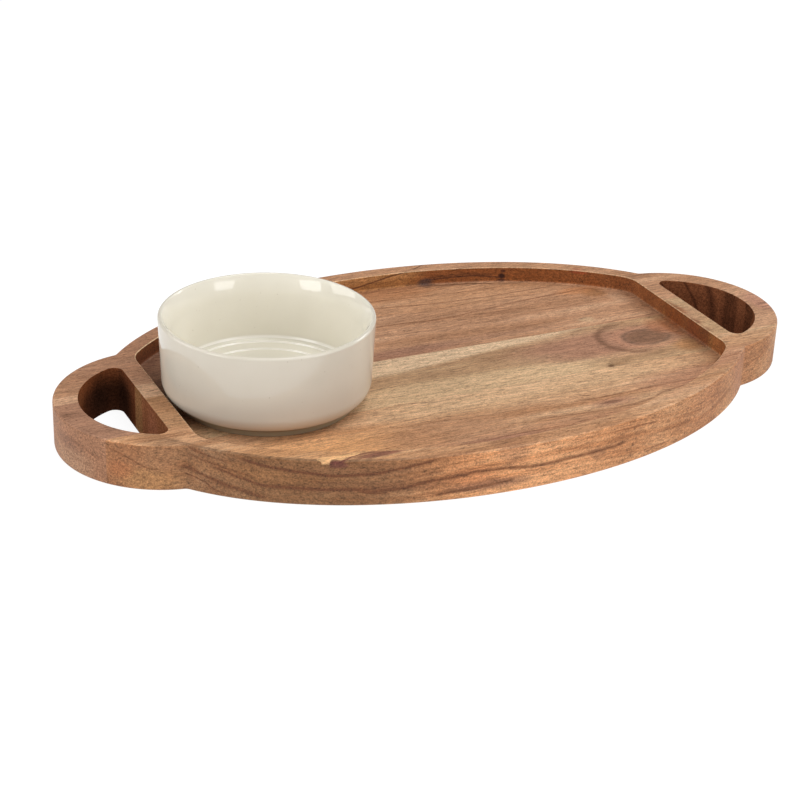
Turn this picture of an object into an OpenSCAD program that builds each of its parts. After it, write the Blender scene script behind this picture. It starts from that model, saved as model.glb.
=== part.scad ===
// Oval serving board with a loose dip bowl.
// The board is edge-glued from three hardwood staves that run its whole length. It has a wide flat
// recess and a rounded handle with a hand hole at each end. A glazed bowl stands in the recess, left of centre.
// Millimetres, +Z up, +X along the board. The origin is on the underside, at the centre of the oval.

/* [Board] */
// Length of the oval, without its handles
oval_len = 400; // [380:1:420]
// Width of the oval
oval_w = 255; // [240:1:270]
// Thickness of the board
board_t = 27; // [22:1:34]
// Depth of the recess in the top
recess_depth = 10; // [6:1:14]
// Width of the rim that the recess leaves along the oval's edge
rim_w = 11; // [8:0.5:16]
// Distance from the board's centre to each straight end of the recess
recess_reach = 167; // [160:0.5:170]
// Radius of the recess's corners, seen from above
recess_corner_r = 17; // [8:1:22]

/* [Handles] */
// Length of the board over both handles
overall_len = 456; // [450:1:462]
// Outer radius of each handle
handle_r = 61.5; // [58:0.5:65]
// Width of the grip around each hand hole
grip_w = 14; // [11:0.5:17]
// Width of the cross bar between a hand hole and the recess
bar_w = 11.5; // [9:0.5:15]
// Corner radius of the hand holes
hole_corner_r = 5.3; // [3:0.1:8]
// Radius of the fillet where a handle's edge runs into the oval
notch_r = 4; // [2:0.5:8]

/* [Staves] */
// Width of the centre stave, between the two glue lines
centre_stave_w = 57; // [50:0.5:64]
// Distance of the back glue line from the board's middle
glue_back = 17; // [12:0.5:22]

/* [Bowl] */
// Outer diameter at the rim
bowl_d = 121; // [112:1:124]
// Height of the bowl
bowl_h = 51; // [40:1:60]
// Thickness of the wall
bowl_wall = 6; // [4:0.1:7]
// Height of the inner floor above the foot
bowl_floor = 9; // [7:0.5:12]
// Slope of the wall outwards, in degrees
bowl_draft = 2.1; // [1:0.1:5]
// Radius of the curve where the wall turns into the base
bowl_corner_r = 10.5; // [8:0.5:12]
// Angle that this curve reaches below the level before it ends in the base's edge
bowl_corner_turn = 52; // [40:1:65]
// Inner radius where the wall turns into the floor
bowl_inner_r = 9; // [6:0.5:14]
// Outer diameter of the foot ring
foot_d = 102; // [94:1:106]
// Width of the foot ring
foot_w = 5; // [4:0.5:7]
// Height of the foot ring below the base's edge
foot_h = 5.5; // [4:0.5:6.5]
// Depth of the hollow inside the foot ring
foot_hollow = 3; // [1:0.5:4]
// Distance of the bowl's axis to the left of the board's centre
bowl_left = 107.3; // [90:0.1:107.8]
// Distance of the bowl's axis in front of the board's centre
bowl_front = 2.8; // [0:0.1:10]

/* [Hidden] */
$fn = 96;

// How far a cutting shape runs past the face it cuts
over = 1;
// Straight pieces in a quarter of an oval, and round a hand hole
oval_steps = 40;
// Straight pieces in a rounded corner
corner_steps = 8;
// Halvings that place a tangent point on the oval
halvings = 40;

// Half lengths and half widths of the oval and of the recess inside it
oval_a = oval_len / 2;
oval_b = oval_w / 2;
recess_a = oval_a - rim_w;
recess_b = oval_b - rim_w;
floor_z = board_t - recess_depth;

// Handle centres, and the straight side and corners of the hand holes
handle_x = overall_len / 2 - handle_r;
hole_r = handle_r - grip_w;
hole_flat_x = recess_reach + bar_w;
hole_corner_x = hole_flat_x + hole_corner_r;
hole_corner_y = sqrt(pow(hole_r - hole_corner_r, 2) - pow(hole_corner_x - handle_x, 2));
hole_corner_angle = atan2(hole_corner_y, hole_corner_x - handle_x);

// Where the front glue line lies
glue_front = glue_back - centre_stave_w;

// Outer and inner radius of the bowl's wall at height z, and the circles that it is tangent to
lip_r = bowl_wall / 2;
function wall_r(z) = bowl_d / 2 - lip_r + lip_r / cos(bowl_draft) - (bowl_h - lip_r - z) * tan(bowl_draft);
function inner_r(z) = wall_r(z) - bowl_wall / cos(bowl_draft);
corner_z = foot_h + bowl_corner_r * sin(bowl_corner_turn);
corner_x = wall_r(corner_z) - bowl_corner_r / cos(bowl_draft);
inner_z = bowl_floor + bowl_inner_r;
inner_x = inner_r(inner_z) - bowl_inner_r / cos(bowl_draft);
draft_normal = [cos(bowl_draft), -sin(bowl_draft)];

// Point on an oval with half axes a and b, and the point a distance g outside it
function on_oval(a, b, t) = [a * cos(t), b * sin(t)];
function oval_normal(a, b, t) = let (n = [b * cos(t), a * sin(t)]) n / norm(n);
function beside_oval(a, b, t, g) = on_oval(a, b, t) + g * oval_normal(a, b, t);

// Where a circle of the recess's corner radius touches both the oval and the straight end
function corner_t(low = 0, high = 90, n = halvings) =
    n == 0 ? low :
    let (mid = (low + high) / 2)
    beside_oval(recess_a, recess_b, mid, -recess_corner_r).x > recess_reach - recess_corner_r
        ? corner_t(mid, high, n - 1) : corner_t(low, mid, n - 1);

// Where a circle of the notch's radius touches both the oval and the handle, from outside
function notch_t(low = 0, high = 60, n = halvings) =
    n == 0 ? low :
    let (mid = (low + high) / 2)
    norm(beside_oval(oval_a, oval_b, mid, notch_r) - [handle_x, 0]) < handle_r + notch_r
        ? notch_t(mid, high, n - 1) : notch_t(low, mid, n - 1);

// A point list in the first quarter, from the X side to the Y axis, repeated in all four
function all_quarters(q) = concat(
    q,
    [for (i = [len(q) - 2 : -1 : 0]) [-q[i].x, q[i].y]],
    [for (p = q) -p],
    [for (i = [len(q) - 2 : -1 : 0]) [q[i].x, -q[i].y]]
);

// Points along an arc, from angle a0 to angle a1
function arc(centre, r, a0, a1, steps) =
    [for (i = [0 : steps]) centre + r * [cos(a0 + (a1 - a0) * i / steps), sin(a0 + (a1 - a0) * i / steps)]];

// Points along an oval with half axes a and b, past parameter t0 and on to the Y axis
function rest_of_quarter(a, b, t0) = [for (i = [1 : oval_steps]) on_oval(a, b, t0 + (90 - t0) * i / oval_steps)];

// Direction of the vector v, from 0 to 360 degrees
function angle_of(v) = (atan2(v.y, v.x) + 360) % 360;

// The board's edge in the first quarter: the fillet at the handle, then the oval
function edge_quarter() =
    let (t0 = notch_t())
    let (centre = beside_oval(oval_a, oval_b, t0, notch_r))
    let (from_handle = angle_of([handle_x, 0] - centre))
    let (from_oval = angle_of(on_oval(oval_a, oval_b, t0) - centre))
    concat(
        arc(centre, notch_r, from_handle, from_oval, corner_steps),
        rest_of_quarter(oval_a, oval_b, t0)
    );

// The recess's edge in the first quarter: its rounded corner, then the oval
function recess_quarter() =
    let (t0 = corner_t())
    let (centre = beside_oval(recess_a, recess_b, t0, -recess_corner_r))
    concat(
        arc(centre, recess_corner_r, 0, angle_of(oval_normal(recess_a, recess_b, t0)), corner_steps),
        rest_of_quarter(recess_a, recess_b, t0)
    );

// Outline of the board, seen from above
module board_outline() {
    polygon(all_quarters(edge_quarter()));
    for (side = [-1, 1]) translate([side * handle_x, 0]) circle(r = handle_r);
}

// Outline of the recess: the smaller oval with its two ends cut straight and rounded in
module recess_outline() {
    polygon(all_quarters(recess_quarter()));
}

// Outline of the right hand hole: a circle cut straight along the bar, with rounded corners
module hole_outline() {
    polygon(concat(
        arc([handle_x, 0], hole_r, -hole_corner_angle, hole_corner_angle, oval_steps),
        arc([hole_corner_x, hole_corner_y], hole_corner_r, hole_corner_angle, 180, corner_steps),
        arc([hole_corner_x, -hole_corner_y], hole_corner_r, 180, 360 - hole_corner_angle, corner_steps)
    ));
}

// The board between two lines across its width and two along its length
module stave(y0, y1, x0 = -overall_len, x1 = overall_len) {
    difference() {
        linear_extrude(board_t) intersection() {
            board_outline();
            translate([x0, y0]) square([x1 - x0, y1 - y0]);
        }
        translate([0, 0, floor_z]) linear_extrude(recess_depth + over) recess_outline();
        for (side = [0, 1]) mirror([side, 0, 0]) translate([0, 0, -over])
            linear_extrude(board_t + 2 * over) hole_outline();
    }
}

module front_stave() {
    color("#bb8f61") stave(-oval_w, glue_front);
}

// The hand holes part the centre stave into a long piece and two grip pieces
module centre_stave() {
    color("#c39c72") stave(glue_front, glue_back, -hole_corner_x, hole_corner_x);
}

module left_grip_stave() {
    color("#a9805c") stave(glue_front, glue_back, -overall_len, -hole_corner_x);
}

module right_grip_stave() {
    color("#b3855a") stave(glue_front, glue_back, hole_corner_x, overall_len);
}

module back_stave() {
    color("#a87850") stave(glue_back, oval_w);
}

// Half section of the bowl as a full block, with its base's edge and its lip rounded
module bowl_block_section() {
    corner = [corner_x, corner_z];
    lip = [bowl_d / 2 - lip_r, bowl_h - lip_r];
    polygon([
        [0, foot_h], [corner.x, foot_h], corner, corner + bowl_corner_r * draft_normal,
        lip + lip_r * draft_normal, lip, [lip.x, bowl_h], [0, bowl_h]
    ]);
    intersection() {
        translate(corner) circle(r = bowl_corner_r);
        translate([0, foot_h]) square(bowl_d);
    }
    translate(lip) circle(r = lip_r);
    translate([foot_d / 2 - foot_w, 0]) square([foot_w, foot_h + over]);
    translate([0, foot_hollow]) square([foot_d / 2 - foot_w / 2, foot_h]);
}

// Half section of the space inside the bowl
module bowl_space_section() {
    corner = [inner_x, inner_z];
    top_z = bowl_h - lip_r;
    polygon([
        [0, bowl_floor], [corner.x, bowl_floor], corner, corner + bowl_inner_r * draft_normal,
        [bowl_d / 2 - lip_r, top_z] - lip_r * draft_normal, [bowl_d / 2 - lip_r, top_z],
        [bowl_d / 2 - lip_r, bowl_h + over], [0, bowl_h + over]
    ]);
    translate(corner) circle(r = bowl_inner_r);
}

module dip_bowl() {
    color("#e4ddcf") translate([-bowl_left, -bowl_front, floor_z]) rotate_extrude() {
        difference() {
            bowl_block_section();
            difference() {
                bowl_space_section();
                translate([bowl_d / 2 - lip_r, bowl_h - lip_r]) circle(r = lip_r);
            }
        }
    }
}

front_stave();
centre_stave();
left_grip_stave();
right_grip_stave();
back_stave();
dip_bowl();
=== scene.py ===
import math

import bmesh
import bpy
from mathutils import Matrix, Vector


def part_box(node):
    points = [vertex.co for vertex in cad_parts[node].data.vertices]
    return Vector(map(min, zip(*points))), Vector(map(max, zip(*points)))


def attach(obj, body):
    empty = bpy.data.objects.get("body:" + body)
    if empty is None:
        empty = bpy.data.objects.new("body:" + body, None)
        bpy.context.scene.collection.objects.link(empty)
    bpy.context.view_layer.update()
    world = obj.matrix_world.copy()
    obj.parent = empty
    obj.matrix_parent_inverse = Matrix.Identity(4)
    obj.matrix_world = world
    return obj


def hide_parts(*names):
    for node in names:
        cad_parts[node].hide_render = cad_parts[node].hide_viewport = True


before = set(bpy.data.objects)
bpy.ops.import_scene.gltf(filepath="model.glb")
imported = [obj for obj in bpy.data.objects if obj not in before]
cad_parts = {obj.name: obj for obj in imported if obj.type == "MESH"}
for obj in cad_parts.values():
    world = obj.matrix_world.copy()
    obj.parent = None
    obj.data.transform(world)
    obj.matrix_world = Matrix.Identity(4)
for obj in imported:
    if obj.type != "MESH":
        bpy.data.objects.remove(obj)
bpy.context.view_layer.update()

# ---------------------------------------------------------------- sizes
# Lengths are in millimetres until a mesh is written, which happens in metres.
MM = 0.001


def box_mm(node):
    lo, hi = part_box(node)
    return lo / MM, hi / MM


def add(name, data):
    """A new object in the scene."""
    obj = bpy.data.objects.new(name, data)
    bpy.context.scene.collection.objects.link(obj)
    return obj


centre_lo, centre_hi = box_mm("centre_stave")
grip_hi = box_mm("right_grip_stave")[1]
front_lo = box_mm("front_stave")[0]
bowl_lo, bowl_hi = box_mm("dip_bowl")

# Board: thickness, the two glue lines, and the oval's half length and half width
BOARD_T = centre_hi.z
GLUE_FRONT = centre_lo.y
GLUE_BACK = centre_hi.y
OVAL_A = 200.0
OVAL_B = -front_lo.y
# Handles, and the fillet where they run into the oval
HANDLE_R = 61.5
HANDLE_X = grip_hi.x - HANDLE_R
NOTCH_R = 4.0
GRIP_W = 14.0
# Recess: the rim it leaves, its floor, its straight ends and their corners
RIM_W = 11.0
FLOOR_Z = bowl_lo.z
RECESS_X = 167.0
RECESS_CORNER_R = 17.0
# Hand holes: their round side, their flat side and the corners between the two
HOLE_R = HANDLE_R - GRIP_W
HOLE_FLAT_X = 178.5
HOLE_CORNER_R = 5.3
HOLE_CORNER_X = HOLE_FLAT_X + HOLE_CORNER_R
# Rounded edges, which the CAD leaves sharp
EDGE_R = 1.6
RECESS_EDGE_R = 0.5
RECESS_FOOT_R = 1.6
HOLE_EDGE_R = 0.6

BOWL_X = (bowl_lo.x + bowl_hi.x) / 2
BOWL_Y = (bowl_lo.y + bowl_hi.y) / 2
BOWL_R = (bowl_hi.x - bowl_lo.x) / 2
BOWL_H = bowl_hi.z - bowl_lo.z


# ---------------------------------------------------------------- outlines
# Straight pieces in a quarter of an oval, round a handle and round a hand hole, and in a corner
OVAL_STEPS = 72
HANDLE_STEPS = 40
HOLE_STEPS = 56
NOTCH_STEPS = 8
RECESS_CORNER_STEPS = 14
HOLE_CORNER_STEPS = 12
# Halvings that place a tangent point on the oval
HALVINGS = 50


def on_oval(a, b, t):
    return Vector((a * math.cos(t), b * math.sin(t)))


def oval_normal(a, b, t):
    return Vector((b * math.cos(t), a * math.sin(t))).normalized()


def solve(test, low, high):
    """The angle where test turns from true to false."""
    for _ in range(HALVINGS):
        mid = (low + high) / 2
        low, high = (mid, high) if test(mid) else (low, mid)
    return low


def angle_of(v):
    return math.atan2(v.y, v.x) % math.tau


def arc(centre, r, a0, a1, steps, facing=1):
    """Points along an arc, each with the unit vector that points out of the wood there."""
    points = []
    for i in range(steps + 1):
        a = a0 + (a1 - a0) * i / steps
        out = Vector((math.cos(a), math.sin(a)))
        points.append((centre + r * out, facing * out))
    return points


def oval_arc(a, b, t0, facing=1):
    """The oval past t0, up to the Y axis."""
    points = []
    for i in range(1, OVAL_STEPS + 1):
        t = t0 + (math.pi / 2 - t0) * i / OVAL_STEPS
        points.append((on_oval(a, b, t), facing * oval_normal(a, b, t)))
    return points


def flip(points, sx, sy):
    s = Vector((sx, sy))
    return [(p * s, n * s) for p, n in points]


def all_quarters(q, on_x_axis=False):
    """A first-quarter outline, from the X side to the Y axis, closed over all four quarters."""
    start = 1 if on_x_axis else 0
    back = q[start:-1][::-1]
    left_end = flip(q[:start], -1, 1)
    return q + flip(back, -1, 1) + left_end + flip(q[start:], -1, -1) + flip(back, 1, -1)


def board_outline():
    def short(t):
        centre = on_oval(OVAL_A, OVAL_B, t) + NOTCH_R * oval_normal(OVAL_A, OVAL_B, t)
        return (centre - handle).length < HANDLE_R + NOTCH_R

    handle = Vector((HANDLE_X, 0))
    t0 = solve(short, 0, math.pi / 3)
    touch = on_oval(OVAL_A, OVAL_B, t0)
    centre = touch + NOTCH_R * oval_normal(OVAL_A, OVAL_B, t0)
    handle_end = angle_of(centre - handle)
    quarter = arc(handle, HANDLE_R, 0, handle_end, HANDLE_STEPS)[:-1]
    notch_start, notch_end = angle_of(handle - centre), angle_of(touch - centre)
    quarter += arc(centre, NOTCH_R, notch_start, notch_end, NOTCH_STEPS, facing=-1)
    quarter += oval_arc(OVAL_A, OVAL_B, t0)
    return all_quarters(quarter, on_x_axis=True)


def recess_outline():
    a, b = OVAL_A - RIM_W, OVAL_B - RIM_W

    def beyond(t):
        inner = on_oval(a, b, t) - RECESS_CORNER_R * oval_normal(a, b, t)
        return inner.x > RECESS_X - RECESS_CORNER_R

    t0 = solve(beyond, 0, math.pi / 2)
    normal = oval_normal(a, b, t0)
    centre = on_oval(a, b, t0) - RECESS_CORNER_R * normal
    quarter = arc(centre, RECESS_CORNER_R, 0, angle_of(normal), RECESS_CORNER_STEPS, facing=-1)
    quarter += oval_arc(a, b, t0, facing=-1)
    return all_quarters(quarter)


def hole_outline(side):
    """The right hand hole, or with side -1 the left one."""
    corner_y = math.sqrt((HOLE_R - HOLE_CORNER_R) ** 2 - (HOLE_CORNER_X - HANDLE_X) ** 2)
    reach = math.atan2(corner_y, HOLE_CORNER_X - HANDLE_X)
    back_corner = Vector((HOLE_CORNER_X, corner_y))
    front_corner = Vector((HOLE_CORNER_X, -corner_y))
    points = arc(Vector((HANDLE_X, 0)), HOLE_R, -reach, reach, HOLE_STEPS, facing=-1)
    points += arc(back_corner, HOLE_CORNER_R, reach, math.pi, HOLE_CORNER_STEPS, facing=-1)[1:]
    points += arc(front_corner, HOLE_CORNER_R, math.pi, math.tau - reach, HOLE_CORNER_STEPS, facing=-1)[:-1]
    return points if side > 0 else flip(points, -1, 1)[::-1]


# ---------------------------------------------------------------- board mesh
EDGE_STEPS = 6
FINE_EDGE_STEPS = 5
# How near a cut a point counts as on it, and how far off a plane lies past the board's ends
ON_CUT = 1e-3
FAR = 1e3


def quarter_turn(out, z, r, a0, a1, steps=EDGE_STEPS, facing=1):
    """Profile points (out of the wood, height) and their normals round a rounded edge.

    The angles are in degrees. Facing is -1 where the curve is hollow."""
    points = []
    for i in range(steps + 1):
        a = math.radians(a0 + (a1 - a0) * i / steps)
        points.append((out + r * math.cos(a) * facing, z + r * math.sin(a) * facing,
                       math.cos(a), math.sin(a)))
    return points


def skirt(bm, layer, outline, profile):
    """Sweeps a profile round an outline. Returns its first and last rings of vertices."""
    rings = []
    for out, z, n_out, n_z in profile:
        ring = []
        for point, facing in outline:
            v = bm.verts.new((*(point + out * facing), z))
            v[layer] = Vector((*(n_out * facing), n_z))
            ring.append(v)
        rings.append(ring)
    count = len(outline)
    for low, high in zip(rings, rings[1:]):
        for i in range(count):
            j = (i + 1) % count
            bm.faces.new((low[i], low[j], high[j], high[i]))
    return rings[0], rings[-1]


def cap(bm, rings, up):
    """Fills between closed rings that lie in one flat plane."""
    edges = []
    for ring in rings:
        for i, v in enumerate(ring):
            edges.append(bm.edges.get((v, ring[(i + 1) % len(ring)])))
    bmesh.ops.triangle_fill(bm, use_beauty=True, edges=edges, normal=(0, 0, up))


def board_mesh():
    """The whole board as one closed mesh. Each vertex keeps the true normal of its curved wall."""
    bm = bmesh.new()
    layer = bm.verts.layers.float_vector.new("nrm")
    edge = quarter_turn(-EDGE_R, EDGE_R, EDGE_R, -90, 0)
    edge += quarter_turn(-EDGE_R, BOARD_T - EDGE_R, EDGE_R, 0, 90)
    bottom, top = skirt(bm, layer, board_outline(), edge)
    recess = quarter_turn(-RECESS_EDGE_R, BOARD_T - RECESS_EDGE_R, RECESS_EDGE_R, 90, 0, FINE_EDGE_STEPS)
    recess += quarter_turn(RECESS_FOOT_R, FLOOR_Z + RECESS_FOOT_R, RECESS_FOOT_R, 0, 90, facing=-1)
    recess_top, floor = skirt(bm, layer, recess_outline(), recess)
    hole = quarter_turn(-HOLE_EDGE_R, BOARD_T - HOLE_EDGE_R, HOLE_EDGE_R, 90, 0)
    hole += quarter_turn(-HOLE_EDGE_R, HOLE_EDGE_R, HOLE_EDGE_R, 0, -90)
    holes = [skirt(bm, layer, hole_outline(side), hole) for side in (-1, 1)]
    cap(bm, [top, recess_top] + [h[0] for h in holes], 1)
    cap(bm, [bottom] + [h[1] for h in holes], -1)
    cap(bm, [floor], 1)
    bmesh.ops.recalc_face_normals(bm, faces=bm.faces[:])
    return bm


def cut(bm, y, keep_above):
    """Cuts the solid across at y, keeps one side and closes the cut."""
    bmesh.ops.bisect_plane(
        bm, geom=bm.verts[:] + bm.edges[:] + bm.faces[:], dist=1e-6,
        plane_co=(0, y, 0), plane_no=(0, 1, 0),
        clear_inner=keep_above, clear_outer=not keep_above)
    rim = [e for e in bm.edges if e.is_boundary]
    bmesh.ops.edgeloop_fill(bm, edges=rim)


def keep_island(bm, x_low, x_high):
    """Deletes what lies outside two planes that don't cut it."""
    gone = [v for v in bm.verts if not x_low < v.co.x < x_high]
    bmesh.ops.delete(bm, geom=gone, context="VERTS")


def write_piece(name, bm, flat_y=()):
    """A mesh object in metres, with the true normals of its curved walls and flat cuts."""
    layer = bm.verts.layers.float_vector.get("nrm")
    bmesh.ops.recalc_face_normals(bm, faces=bm.faces[:])
    bmesh.ops.triangulate(bm, faces=[f for f in bm.faces if len(f.verts) > 4])
    bm.normal_update()
    normals = []
    for face in bm.faces:
        flat = any(all(abs(v.co.y - y) < ON_CUT for v in face.verts) for y in flat_y)
        for loop in face.loops:
            normals.append(face.normal.copy() if flat else Vector(loop.vert[layer]).normalized())
        face.smooth = True
    bm.verts.layers.float_vector.remove(layer)
    mesh = bpy.data.meshes.new(name)
    bmesh.ops.scale(bm, vec=(MM, MM, MM), verts=bm.verts)
    bm.to_mesh(mesh)
    bm.free()
    mesh.normals_split_custom_set(normals)
    return add(name, mesh)


def stave(name, y_low=None, y_high=None, x_low=-FAR, x_high=FAR):
    """The part of the whole board between two glue lines and two planes across it."""
    bm = whole_board.copy()
    flat = []
    if y_low is not None:
        cut(bm, y_low, True)
        flat.append(y_low)
    if y_high is not None:
        cut(bm, y_high, False)
        flat.append(y_high)
    keep_island(bm, x_low, x_high)
    return write_piece(name, bm, flat)


whole_board = board_mesh()
staves = {
    "front_stave": stave("front_stave_wood", y_high=GLUE_FRONT),
    "centre_stave": stave("centre_stave_wood", GLUE_FRONT, GLUE_BACK, -HOLE_CORNER_X, HOLE_CORNER_X),
    "left_grip_stave": stave("left_grip_wood", GLUE_FRONT, GLUE_BACK, x_high=-HOLE_CORNER_X),
    "right_grip_stave": stave("right_grip_wood", GLUE_FRONT, GLUE_BACK, x_low=HOLE_CORNER_X),
    "back_stave": stave("back_stave_wood", y_low=GLUE_BACK),
}
whole_board.free()


# ---------------------------------------------------------------- bowl mesh
# Sizes in the bowl's half section: distance from its axis, height above its foot, angles in degrees
WALL_TILT = 2.1
LIP_R = 1.6
INNER_LIP_R = 1.0
SHOULDER_R = 24.8
SHOULDER_TILT = 33.0
FOOT_R = 51.0
FOOT_W = 5.0
FOOT_H = 5.5
FOOT_HOLLOW = 3.0
CORNER_R = 10.5
CORNER_TURN = 52.0
BASE_EDGE_R = 0.35
# Rounded edges under the foot ring, whose inner side leans a little
FOOT_OUTER_EDGE_R = 0.8
FOOT_INNER_EDGE_R = 0.9
FOOT_LEAN = 1.0
# The wall's inner foot: a hollow curve in two parts, with a steep band between them
INNER_FOOT_Z = 14.9
INNER_FOOT_R = 2.4
INNER_FOOT_TURNS = (-27, -62)
# The throwing ridges of the floor are steep bands too, which start at these radii
RIDGES = (50.0, 43.5)
BAND_LENGTH = 0.9
BAND_SLOPE = math.radians(63.0)
INNER_FLOOR_R = 41.0
INNER_FLOOR_Z = 9.0
BOWL_STEPS = 160
SHARP_ANGLE = math.radians(50)


def turn(cx, cz, r, a0, a1, steps):
    """Points round a centre, with the angles in degrees."""
    angles = [math.radians(a0 + (a1 - a0) * i / steps) for i in range(steps + 1)]
    return [(cx + r * math.cos(a), cz + r * math.sin(a)) for a in angles]


def between(start, end, parts):
    """Points on a straight line, at these parts of its length."""
    return [(start[0] + (end[0] - start[0]) * t, start[1] + (end[1] - start[1]) * t) for t in parts]


def band(start):
    """A steep band downwards and inwards, with a point near each end to keep its edges crisp."""
    end = (start[0] - BAND_LENGTH * math.cos(BAND_SLOPE), start[1] - BAND_LENGTH * math.sin(BAND_SLOPE))
    return between(start, end, (0.12, 0.88, 1.0))


def outer_profile():
    """From the middle of the underside out, round the foot and up the wall, to the lip's inner edge."""
    draft = math.radians(WALL_TILT)
    corner_turn = math.radians(CORNER_TURN)
    crest = BOWL_R - LIP_R
    corner_z = FOOT_H + CORNER_R * math.sin(corner_turn)
    corner_x = (crest + (LIP_R - CORNER_R) / math.cos(draft)
                - (BOWL_H - LIP_R - corner_z) * math.tan(draft))
    inner_edge_x = FOOT_R - FOOT_W + 0.2
    points = [(0.0, FOOT_HOLLOW), (FOOT_R - FOOT_W - FOOT_LEAN, FOOT_HOLLOW)]
    points += turn(inner_edge_x, FOOT_INNER_EDGE_R, FOOT_INNER_EDGE_R, 180, 270, 3)
    points += turn(FOOT_R - FOOT_OUTER_EDGE_R, FOOT_OUTER_EDGE_R, FOOT_OUTER_EDGE_R, -90, 0, 4)
    # The curve of the wall ends in a small edge above the foot
    edge_x = corner_x + CORNER_R * math.cos(corner_turn)
    points += [(FOOT_R, FOOT_H - 0.4), (FOOT_R + 0.4, FOOT_H)]
    points += turn(edge_x - BASE_EDGE_R, FOOT_H + BASE_EDGE_R, BASE_EDGE_R, -90, -CORNER_TURN, 3)
    points += turn(corner_x, corner_z, CORNER_R, -CORNER_TURN + 3, -WALL_TILT, 14)
    points += turn(crest, BOWL_H - LIP_R, LIP_R, -WALL_TILT, 90, 10)
    points += turn(crest, BOWL_H - INNER_LIP_R, INNER_LIP_R, 90, 180 - SHOULDER_TILT, 6)[1:]
    return points


def inner_profile(lip):
    """From the lip's inner edge down the leaning wall and in over the ridges to the floor's middle."""
    lean = math.radians(SHOULDER_TILT)
    shoulder_x = lip[0] + SHOULDER_R * math.cos(lean)
    shoulder_z = lip[1] - SHOULDER_R * math.sin(lean)
    points = turn(shoulder_x, shoulder_z, SHOULDER_R, 180 - SHOULDER_TILT, 180 - WALL_TILT, 14)[1:]
    wall_x, wall_z = points[-1]
    foot_x = wall_x - (wall_z - INNER_FOOT_Z) * math.tan(math.radians(WALL_TILT))
    first, last = INNER_FOOT_TURNS
    points.append((foot_x, INNER_FOOT_Z))
    points += turn(foot_x - INNER_FOOT_R, INNER_FOOT_Z, INNER_FOOT_R, 0, first, 4)[1:]
    points += band(points[-1])
    x, z = points[-1]
    centre_x = x - INNER_FOOT_R * math.cos(math.radians(first))
    centre_z = z - INNER_FOOT_R * math.sin(math.radians(first))
    points += turn(centre_x, centre_z, INNER_FOOT_R, first, last, 5)[1:]
    # The shelves between the bands share the drop that the bands leave
    x, z = points[-1]
    shelf_run = x - INNER_FLOOR_R - len(RIDGES) * BAND_LENGTH * math.cos(BAND_SLOPE)
    shelf_drop = z - INNER_FLOOR_Z - len(RIDGES) * BAND_LENGTH * math.sin(BAND_SLOPE)
    for ridge in RIDGES:
        x, z = points[-1]
        points += between((x, z), (ridge, z - (x - ridge) * shelf_drop / shelf_run), (0.1, 0.9, 1.0))
        points += band(points[-1])
    points.append((INNER_FLOOR_R, INNER_FLOOR_Z))
    points += [(38.0, INNER_FLOOR_Z - 0.05), (20.0, INNER_FLOOR_Z - 0.1), (0.0, INNER_FLOOR_Z - 0.1)]
    return points


def lathe(name, profile, centre):
    """Turns a half section (distance from the axis, height) round an upright axis through centre."""
    bm = bmesh.new()
    rings = []
    for r, z in profile:
        count = BOWL_STEPS if r > 0 else 1
        ring = []
        for i in range(count):
            a = math.tau * i / BOWL_STEPS
            ring.append(bm.verts.new(centre + Vector((r * math.cos(a), r * math.sin(a), z))))
        rings.append(ring)
    for low, high in zip(rings, rings[1:]):
        for i in range(BOWL_STEPS):
            j = (i + 1) % BOWL_STEPS
            if len(low) == 1:
                bm.faces.new((low[0], high[j], high[i]))
            elif len(high) == 1:
                bm.faces.new((low[i], low[j], high[0]))
            else:
                bm.faces.new((low[i], low[j], high[j], high[i]))
    bmesh.ops.recalc_face_normals(bm, faces=bm.faces[:])
    bmesh.ops.scale(bm, vec=(MM, MM, MM), verts=bm.verts)
    mesh = bpy.data.meshes.new(name)
    bm.to_mesh(mesh)
    bm.free()
    mesh.shade_smooth()
    mesh.set_sharp_from_angle(angle=SHARP_ANGLE)
    return add(name, mesh)


outer = outer_profile()
bowl = lathe("dip_bowl_glazed", outer + inner_profile(outer[-1]), Vector((BOWL_X, BOWL_Y, FLOOR_Z)))


# ---------------------------------------------------------------- material nodes
class Value:
    """The output of a shader node, which can be used in sums and products."""

    def __init__(self, nodes, socket):
        self.nodes = nodes
        self.socket = socket

    def __add__(self, other):
        return self.nodes.math("ADD", self, other)

    def __sub__(self, other):
        return self.nodes.math("SUBTRACT", self, other)

    def __rsub__(self, other):
        return self.nodes.math("SUBTRACT", other, self)

    def __mul__(self, other):
        return self.nodes.math("MULTIPLY", self, other)

    def __truediv__(self, other):
        return self.nodes.math("DIVIDE", self, other)

    __radd__ = __add__
    __rmul__ = __mul__


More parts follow.
